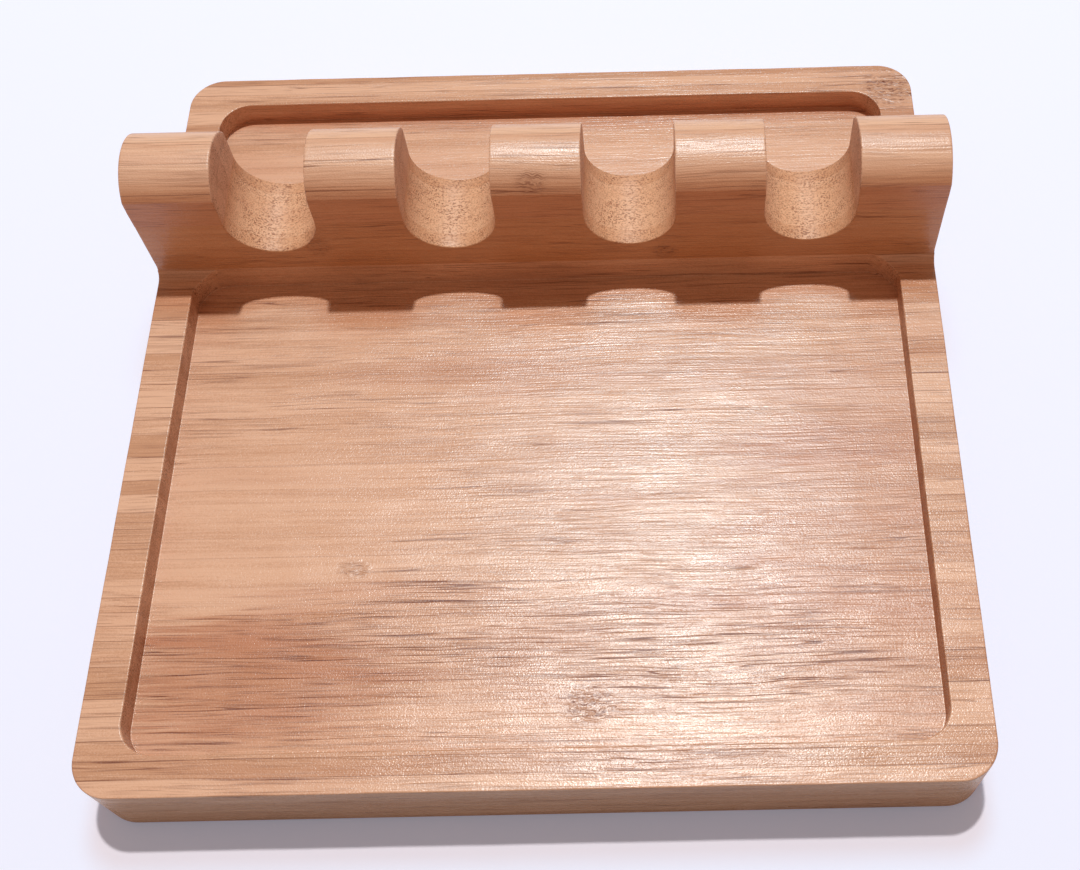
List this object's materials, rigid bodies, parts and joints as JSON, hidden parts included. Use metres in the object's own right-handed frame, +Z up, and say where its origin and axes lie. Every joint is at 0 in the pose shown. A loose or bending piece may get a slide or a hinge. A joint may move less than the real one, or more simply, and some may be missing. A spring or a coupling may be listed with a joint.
{
  "type": "utensil rest",
  "caption": "Square routed bamboo board with a raised round-topped rail across it, whose round-bottomed grooves hold utensil handles over a shallow drip recess.",
  "frame": {"origin": "under the middle of the board, on the surface it stands on", "axes": "+X along the rail to the viewer's right, +Y away from the viewer towards the rail's back, +Z up"},
  "size_m": [0.2, 0.2014, 0.0568],
  "materials": {
    "bamboo_board": "oiled satin bamboo",
    "bamboo_rail": "oiled satin bamboo",
    "bamboo_crest": "oiled satin bamboo",
    "beech_dowel": "bare, fluted"
  },
  "bodies": {
    "root": {"base_board": "bamboo_board", "rail_lower_block": "bamboo_rail", "rail_crest_1": "bamboo_crest", "rail_crest_2": "bamboo_crest", "rail_crest_3": "bamboo_crest", "rail_crest_4": "bamboo_crest", "rail_crest_5": "bamboo_crest", "dowel_1": "beech_dowel", "dowel_2": "beech_dowel", "dowel_3": "beech_dowel", "dowel_4": "beech_dowel", "dowel_5": "beech_dowel"}
  },
  "joints": []
}
